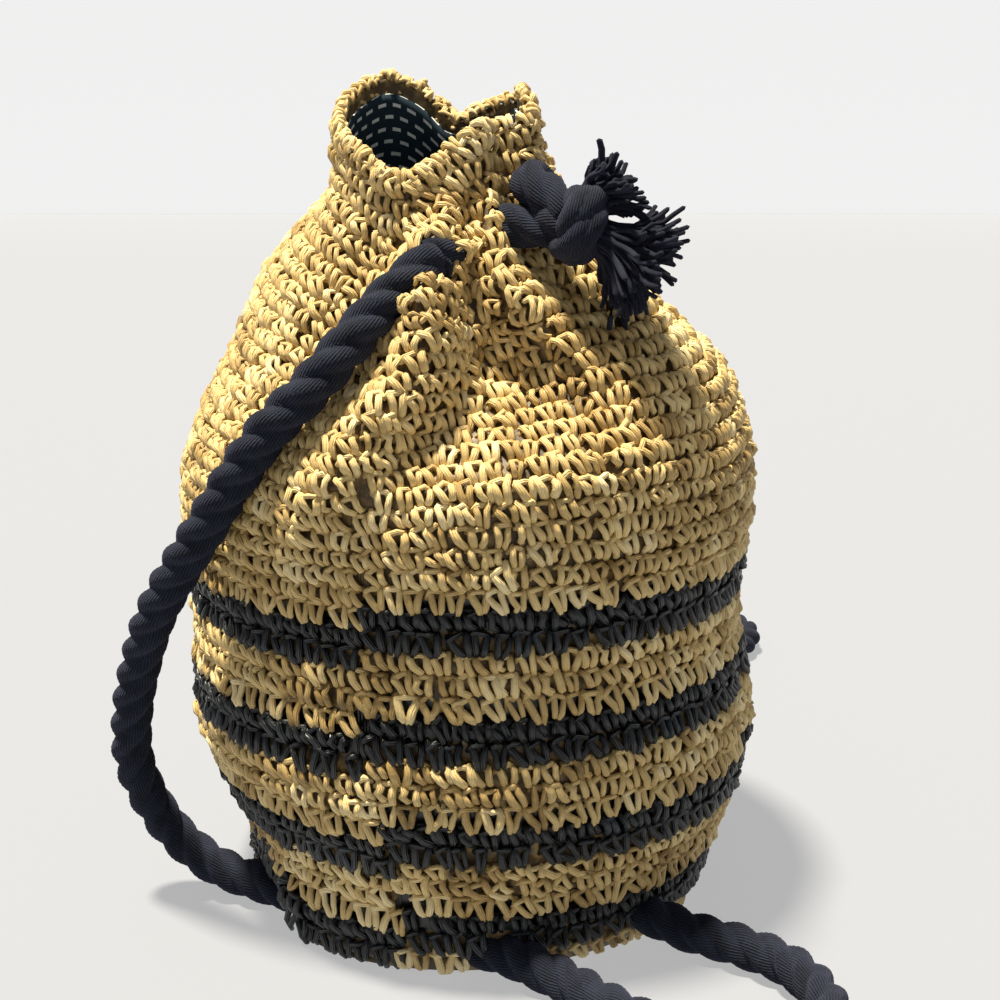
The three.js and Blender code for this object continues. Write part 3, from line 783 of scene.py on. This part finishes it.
def printed_cotton():
    """Plain-woven cotton with a generic print: staggered pale dashes on dark teal navy, 7 mm apart."""
    material, tree = new_material("printed cotton lining")
    shader = tree.nodes["Principled BSDF"]
    place = add_node(tree, "ShaderNodeTexCoord")
    bricks = add_node(
        tree, "ShaderNodeTexBrick",
        {
            "Vector": place.outputs["UV"], "Color1": linear("#e4ebe6"), "Color2": linear("#cfd9d5"),
            "Mortar": linear("#1d2f3a"), "Scale": 1.0, "Mortar Size": 0.3, "Mortar Smooth": 0.1,
            "Bias": 0.0, "Brick Width": 1.25, "Row Height": 0.8,
        },
        offset=0.5, squash=1.0,
    )
    tree.links.new(bricks.outputs["Color"], shader.inputs["Base Color"])
    shader.inputs["Roughness"].default_value = 0.85
    shader.inputs["Specular IOR Level"].default_value = 0.25
    thread = add_node(
        tree, "ShaderNodeTexNoise", {"Vector": place.outputs["Object"], "Scale": 1400, "Detail": 2}
    )
    bump = add_node(
        tree, "ShaderNodeBump", {"Height": thread.outputs["Fac"], "Strength": 0.3, "Distance": 0.0003}
    )
    tree.links.new(bump.outputs["Normal"], shader.inputs["Normal"])
    return material


rope_cotton = laid_cotton()
lining_cotton = printed_cotton()

# The camera of the photograph
bpy.ops.object.camera_add(location=(0.015, -0.713, 0.370), rotation=(math.radians(76), 0, 0))
camera = bpy.context.object
camera.data.sensor_width = 36
camera.data.lens = 52.7
bpy.context.scene.camera = camera

# The ropes: each is one line from the knot, through the neck and down to the bag's lower edge
front_points, front_even, front_marks = rope_line(
    [tuple(KNOT_CENTRE), *[neck_point(*row) for row in reversed(FRONT_ARC)], *LEFT_STRAP]
)
back_points, back_even, back_marks = rope_line(
    [tuple(KNOT_CENTRE), *[neck_point(*row) for row in BACK_ARC], *RIGHT_STRAP]
)


def stretch(points, even, start, end, step=2.6):
    """The part of a line between two places along it."""
    count = max(3, int(round((end - start) / step)) + 1)
    at = np.linspace(start, end, count)
    return np.stack([np.interp(at, even, points[:, k]) for k in range(3)], -1), at


for name, drawn, points, even, exit_at in (
    ("left_strap", "drawstring_front", front_points, front_even, front_marks[len(FRONT_ARC)]),
    ("right_strap", "drawstring_back", back_points, back_even, back_marks[len(BACK_ARC)]),
):
    free, free_at = stretch(points, even, exit_at, even[-1])
    strap = laid_rope(name + "_rope", free, free_at, rope_cotton)
    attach(strap, "root")
    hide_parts(name)
    neck, neck_at = stretch(points, even, 6.0, exit_at)
    string = laid_rope(drawn + "_rope", neck, neck_at, rope_cotton)
    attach(string, "root")
    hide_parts(drawn)

# The knot: a rope wound in almost two turns, with a short end at either side
wrap_angle = np.linspace(-0.8 * np.pi, 3.1 * np.pi, 12)
wrap = [
    KNOT_CENTRE
    + np.array(
        [
            -3.6 + 7.2 * (a + 0.8 * np.pi) / (3.9 * np.pi) + 2.0 * math.sin(a),
            -0.9 * KNOT_RADIUS * math.cos(a),
            KNOT_RADIUS * math.sin(a),
        ]
    )
    for a in wrap_angle
]
inside_start = [KNOT_CENTRE + np.array([-7, 3, 2])]
inside_end = [KNOT_CENTRE + np.array([6, 1, -2])]
points, even, _ = rope_line([*inside_start, *wrap, *inside_end], 2.0)
knot = laid_rope("knot_wraps", points, even, rope_cotton, diameter=17.5, lay=42, sides=24)
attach(knot, "root")
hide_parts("knot")

# The knots inside the bag that keep the straps' lower ends from slipping out
for name, line in (("left_stopper_knot", front_points), ("right_stopper_knot", back_points)):
    along = unit(line[-1] - line[-4])
    centre = line[-1] + along * STOPPER_RADIUS * 0.8
    centre[2] = STOPPER_RADIUS + BASE_THICKNESS + GAP
    t = np.linspace(0, 2 * np.pi, 31)
    trefoil = np.stack(
        [(2 + np.cos(3 * t)) * np.cos(2 * t), (2 + np.cos(3 * t)) * np.sin(2 * t), 1.25 * np.sin(3 * t)], -1
    )
    points, even, _ = rope_line(centre + trefoil * 3.1, 2.0)
    stopper = laid_rope(name + "_rope", points, even, rope_cotton, diameter=10.5, lay=30, sides=15)
    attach(stopper, "root")
    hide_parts(name)


def frayed_end(name, start, heading, length, yarns, fan):
    """Loose yarns that fan out of the knot, each a thin wavy tube."""
    forward = unit(np.array(heading, float))
    side = unit(np.cross(forward, [0, 0, 1.0]))
    other = np.cross(side, forward)
    root = KNOT_CENTRE + np.array(start, float)
    vertices, quads, triangles, uvs, count = [], [], [], [], 0
    for n in range(yarns):
        spread = math.sqrt((n + 0.5) / yarns)
        angle = n * 2.39996 + chance.normal(0, 0.3)
        away = math.cos(angle) * side + math.sin(angle) * other
        reach = length * (1.08 - 0.5 * spread * chance.random() - 0.14 * chance.random())
        steps = np.linspace(0, 1, 8)
        bend = fan * spread * steps**0.8 + chance.normal(0, 0.12) * steps
        wave = chance.normal(0, 1.9, 3)
        path = (
            root
            + away * 7.5 * spread
            + np.outer(steps * reach * np.cos(bend), forward)
            + np.outer(steps * reach * np.sin(bend), away)
            + np.outer(np.sin(steps * 7 + n) * wave[0] * steps, side)
            + np.outer(np.cos(steps * 6 + 2 * n) * wave[1] * steps - 2.0 * spread * steps**2, other)
            + np.outer(np.sin(steps * 5 + 3 * n) * 0.6 * wave[2] * steps, forward)
        )
        path[1:] += chance.normal(0, 0.35, (7, 3))
        v, q, t, u = strand_template(path, chance.uniform(2.2, 3.6), 2.4, 5)
        vertices.append(v)
        quads.append(q + count)
        triangles.append(t + count)
        uvs.append(u)
        count += len(v)
    return make_piece(
        name, np.concatenate(vertices), [np.concatenate(quads), np.concatenate(triangles)], [rope_cotton],
        np.concatenate(uvs),
    )


for name, start, heading, length, yarns, fan in TASSELS:
    fringe = frayed_end(name + "_yarns", start, heading, length, yarns, fan)
    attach(fringe, "root")
    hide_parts(name)


# The crocheted fabric
AROUND = np.linspace(SEAM_AZIMUTH, SEAM_AZIMUTH + 360, 721)
FRONT_EXIT = int(np.searchsorted(front_even, front_marks[len(FRONT_ARC)]))
ROPE_NEAR = np.concatenate([front_points[4:20], front_points[FRONT_EXIT + 2 :], back_points[4:]])
ROPE_IN_NECK = front_points[FRONT_EXIT - 26 : FRONT_EXIT - 1]


def draped(point, out):
    """Places of the cloth, pushed out to where they lie over the rope that comes out of the neck."""
    away = np.linalg.norm(point[:, None] - ROPE_IN_NECK[None], axis=-1).min(1)
    return point + out * np.clip(0.5 * ROPE + 1.0 - away, 0, 9)[:, None]


def clear_of_ropes(point, room):
    """Which places are further than this from every rope's middle."""
    keep = np.ones(len(point), bool)
    for i in range(0, len(ROPE_NEAR), 400):
        part = ROPE_NEAR[i : i + 400]
        keep &= (np.linalg.norm(point[:, None] - part[None], axis=-1) > room).all(1)
    return keep


def row_places(level_of, width):
    """Evenly spaced azimuths along the row at the levels given, and the true width of its stitches."""
    line = wall_point(AROUND, level_of(AROUND), 2)
    lengths = np.concatenate([[0], np.cumsum(np.linalg.norm(np.diff(line, axis=0), axis=1))])
    count = int(round(lengths[-1] / width))
    start = chance.random()
    at = (np.arange(count) + start + chance.normal(0, 0.1, count)) * lengths[-1] / count
    at = at % lengths[-1]
    return np.interp(at, lengths, AROUND), lengths[-1] / count


def drift(azimuth, level):
    """A slow change of the straw's tone over the bag."""
    a = np.radians(azimuth)
    return 0.5 + 0.12 * np.sin(3 * a + 9 * level) + 0.1 * np.sin(7 * a - 14 * level)


def stripe_level(row):
    return lambda azimuth: (HEM_RISE + ROW_HEIGHT * (row - turned(azimuth))) / SHOULDER_HEIGHT


def turned(azimuth):
    """How far round the spiral an azimuth is from the seam, in whole turns."""
    return (np.asarray(azimuth, float) - SEAM_AZIMUTH) / 360


COLUMNS = 120
COLUMN_AZIMUTHS = SEAM_AZIMUTH + 360 * np.arange(COLUMNS) / COLUMNS

first = 0
for name, rows, colour in STRIPES:
    cloth = Fabric()
    below = ROW_COLOURS[first - 1] if first else colour
    levels, dyed = [], []
    for step in range(rows * 2 + 1):
        edge = first + step / 2
        level = np.maximum(0, stripe_level(edge)(COLUMN_AZIMUTHS)) if edge else np.zeros(COLUMNS)
        levels.append(level)
        dyed.append((below if step < 1.5 else colour) == "navy")
    outside = np.array([wall_point(COLUMN_AZIMUTHS, level, CLOTH_OUTSIDE) for level in levels])
    inside = np.array([wall_point(COLUMN_AZIMUTHS, level, CLOTH_INSIDE) for level in levels])
    cloth.add_wall(outside, inside, np.array(dyed[:-1]))
    for row in range(first, first + rows):
        level_of = stripe_level(row + 0.5)
        azimuth, width = row_places(level_of, STITCH_WIDTH)
        level = level_of(azimuth)
        if row == 0:
            azimuth, level = azimuth[level > 0.012], level[level > 0.012]
        point, along, up, out = wall_frame(azimuth, level, 2.0)
        keep = clear_of_ropes(point, ROOM_IN_STRIPES if row > 4 else ROOM_NEAR_FLOOR)
        point, along, up, out, azimuth, level = (v[keep] for v in (point, along, up, out, azimuth, level))
        n = len(point)
        tone = np.clip(drift(azimuth, level) + chance.normal(0, 0.24, n), 0, 1)
        cloth.add_stitches(
            point, along, up, out, np.full(n, width), np.full(n, ROW_HEIGHT), tone,
            np.full(n, colour == "navy"), np.full(n, colour == "navy"), floor=0.3,
            variants=HANGING if row == first else TUCKED,
        )
    piece = cloth.piece(name + "_stitches")
    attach(piece, "root")
    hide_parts(name)
    first += rows

# The yoke: its rows share each side's height, so they run on from the stripes and close up to the rim.
MERIDIAN = np.linspace(0, 1, 90)
edge_level = stripe_level(STRIPE_ROWS)


def meridian(azimuth):
    """Levels up one side from the stripes to the rim, and the distance up the cloth at each."""
    start = edge_level(azimuth)
    levels = start[:, None] + (2 - start)[:, None] * MERIDIAN[None]
    line = wall_point(azimuth[:, None] + 0 * levels, levels, 2)
    steps = np.linalg.norm(np.diff(line, axis=1), axis=-1)
    return levels, np.concatenate([np.zeros((len(azimuth), 1)), np.cumsum(steps, 1)], 1)


side_azimuths = AROUND[::3]
side_levels, side_lengths = meridian(side_azimuths)
YOKE_ROWS = int(round(side_lengths[0, -1] / YOKE_ROW))


def yoke_level(row):
    """The level of a height in the yoke, counted in rows from the stripes."""
    share = row / (YOKE_ROWS + turned(side_azimuths))
    wanted = np.minimum(share, 1) * side_lengths[:, -1]
    values = np.array([np.interp(w, l, v) for w, l, v in zip(wanted, side_lengths, side_levels)])
    return lambda azimuth: np.interp(azimuth, side_azimuths, values)


SPLITS = [0, YOKE_SPLIT, YOKE_ROWS + 1]
for part, (low, high) in enumerate(zip(SPLITS, SPLITS[1:])):
    cloth = Fabric()
    last = high > YOKE_ROWS
    edges = np.linspace(low, min(high, YOKE_ROWS + 1), 2 * (high - low) + 1)
    levels = [yoke_level(e)(COLUMN_AZIMUTHS) for e in edges]
    outside = np.array([wall_point(COLUMN_AZIMUTHS, level, CLOTH_OUTSIDE) for level in levels])
    inside = np.array([wall_point(COLUMN_AZIMUTHS, level, CLOTH_INSIDE) for level in levels])
    dyed = np.zeros(len(edges) - 1, bool)
    if part == 0:
        dyed[0] = True
    cloth.add_wall(outside, inside, dyed)
    for row in range(low, high):
        level_of = yoke_level(row + 0.5)
        azimuth, width = row_places(level_of, STITCH_WIDTH * 0.95)
        level = level_of(azimuth)
        if row == YOKE_ROWS:
            kept = turned(azimuth) > 0.45
            azimuth, level = azimuth[kept], level[kept]
        point, along, up, out = wall_frame(azimuth, level, 2.0)
        keep = clear_of_ropes(point, ROOM_IN_YOKE)
        point, along, up, out, azimuth, level = (v[keep] for v in (point, along, up, out, azimuth, level))
        point = draped(point, out)
        n = len(point)
        tone = np.clip(drift(azimuth, level) + chance.normal(0, 0.2, n), 0, 1)
        cloth.add_stitches(
            point, along, up, out, np.full(n, width), np.full(n, YOKE_ROW * 1.08), tone,
            np.zeros(n, bool), np.zeros(n, bool), variants=HANGING if row == 0 else TUCKED,
        )
    if last:
        # The finishing round lies over the cloth's edge.
        azimuth, width = row_places(lambda a: np.full(np.shape(a), 2.0), 7.5)
        point, along, up, out = wall_frame(azimuth, np.full(len(azimuth), 2.0), 2.6)
        n = len(point)
        cloth.add_stitches(
            point + up * 0.6, along, -out, up, np.full(n, width), np.full(n, 6.2),
            np.clip(0.6 + chance.normal(0, 0.2, n), 0, 1), np.zeros(n, bool), np.zeros(n, bool),
        )
    piece = cloth.piece(f"straw_yoke_{('lower', 'upper')[part]}")
    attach(piece, "root")
    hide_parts("straw_yoke")

# The round bottom: rounds of the same stitches, which drape over the rope
cloth = Fabric()
share = np.array([0.02, 0.3, 0.6, 0.8, 0.92, 1])
edge = wall_point(COLUMN_AZIMUTHS, 0, WALL + GAP)


def bottom(scale, height):
    x, y = edge[:, 0] * scale, edge[:, 1] * scale
    return np.stack([x, y, lift_over_rope(x, y, BASE_UNDER) + height], -1)


cloth.add_wall(
    np.array([bottom(s, BASE_THICKNESS) for s in share]), np.array([bottom(s, 2.2) for s in share]),
    np.zeros(len(share) - 1, bool),
)
for ring in range(1, BASE_ROUNDS + 1):
    radius = ring / (BASE_ROUNDS + 0.6)
    count = max(5, int(round(2 * math.pi * BASE_RADIUS * radius / STITCH_WIDTH)))
    azimuth = SEAM_AZIMUTH + 360 * (np.arange(count) + 0.5) / count
    rim = wall_point(azimuth, 0, WALL + GAP)
    x, y = rim[:, 0] * radius, rim[:, 1] * radius
    point = np.stack([x, y, lift_over_rope(x, y, BASE_UNDER) + 2.6], -1)
    up = unit(np.stack([-x, -y, 0 * x], -1))
    along = np.cross(up, [0, 0, -1.0])
    n = len(point)
    cloth.add_stitches(
        point, along, up, np.tile([0, 0, -1.0], (n, 1)), np.full(n, STITCH_WIDTH), np.full(n, 9.0),
        np.clip(0.45 + chance.normal(0, 0.15, n), 0, 1), np.zeros(n, bool), np.zeros(n, bool), floor=0.3,
    )
piece = cloth.piece("base_rounds")
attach(piece, "root")
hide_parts("base")

# The lining, a thin sheet that follows the gathered mouth
LINING_LOW, LINING_HIGH = 1.34, 1.93
columns, rows = 180, 16
lining_azimuths = -180 + 360 * np.arange(columns) / columns
lining_levels = np.linspace(LINING_LOW, LINING_HIGH, rows)
faces_of = []
for extra in (0.0, 0.7):
    inset = WALL + 1.3 + extra
    faces_of.append(np.array([wall_point(lining_azimuths, level, inset) for level in lining_levels]))
grid = np.concatenate([faces_of[0], faces_of[1][::-1]])
middle = faces_of[0][rows // 2]
girth = np.concatenate([[0], np.cumsum(np.linalg.norm(np.diff(middle, axis=0), axis=1))])
side = np.linalg.norm(np.diff(faces_of[0], axis=0), axis=-1).sum(0).mean()
u = np.tile(girth / PRINT_SCALE, (2 * rows, 1))
v = np.linspace(0, side / PRINT_SCALE, rows)
v = np.concatenate([v, np.linspace(side / PRINT_SCALE, 0, rows)])[:, None].repeat(columns, 1)
lining = make_piece(
    "lining_cloth",
    grid.reshape(-1, 3),
    [closed_band(2 * rows, columns), np.zeros((0, 3), int)],
    [lining_cotton],
    np.stack([u, v], -1).reshape(-1, 2),
)
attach(lining, "root")
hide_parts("lining")


# The floor, backdrop and light of a plain studio
def pale(name, colour, glow=0.0):
    """Matt paper, faintly grained."""
    material, tree = new_material(name)
    shader = tree.nodes["Principled BSDF"]
    place = add_node(tree, "ShaderNodeTexCoord")
    grain = add_node(
        tree, "ShaderNodeTexNoise", {"Vector": place.outputs["Object"], "Scale": 60, "Detail": 3}
    )
    bump = add_node(tree, "ShaderNodeBump", {"Height": grain.outputs["Fac"], "Strength": 0.05})
    tree.links.new(bump.outputs["Normal"], shader.inputs["Normal"])
    shader.inputs["Base Color"].default_value = linear(colour)
    shader.inputs["Roughness"].default_value = 0.95
    shader.inputs["Specular IOR Level"].default_value = 0.05
    shader.inputs["Emission Color"].default_value = linear("#ffffff")
    shader.inputs["Emission Strength"].default_value = glow
    return material


bpy.ops.object.select_all(action="DESELECT")
bpy.ops.mesh.primitive_plane_add(size=14, location=(0, 0, 0))
floor = bpy.context.object
floor.name = "floor"
floor.data.materials.append(pale("matt paper floor", "#626469", 0.43))
bpy.ops.mesh.primitive_plane_add(size=14, location=(0, 6.5, -5.2), rotation=(math.radians(90), 0, 0))
backdrop = bpy.context.object
backdrop.name = "backdrop"
backdrop.data.materials.append(pale("matt paper backdrop", "#808080", 0.74))

world = bpy.data.worlds.new("studio")
bpy.context.scene.world = world
world.use_nodes = True
world.node_tree.nodes["Background"].inputs["Color"].default_value = linear("#f2f5ff")
world.node_tree.nodes["Background"].inputs["Strength"].default_value = 0.3
bpy.context.scene.view_settings.view_transform = "Standard"

bpy.ops.object.light_add(type="SUN", location=(0.6, -0.6, 1.5))
key = bpy.context.object
key.name = "key"
key.data.energy = 9.6
key.data.angle = math.radians(7)
key.data.color = linear("#fff5e0")[:3]
key.rotation_euler = Vector((0.2, 0.02, -1)).to_track_quat("-Z", "Y").to_euler()
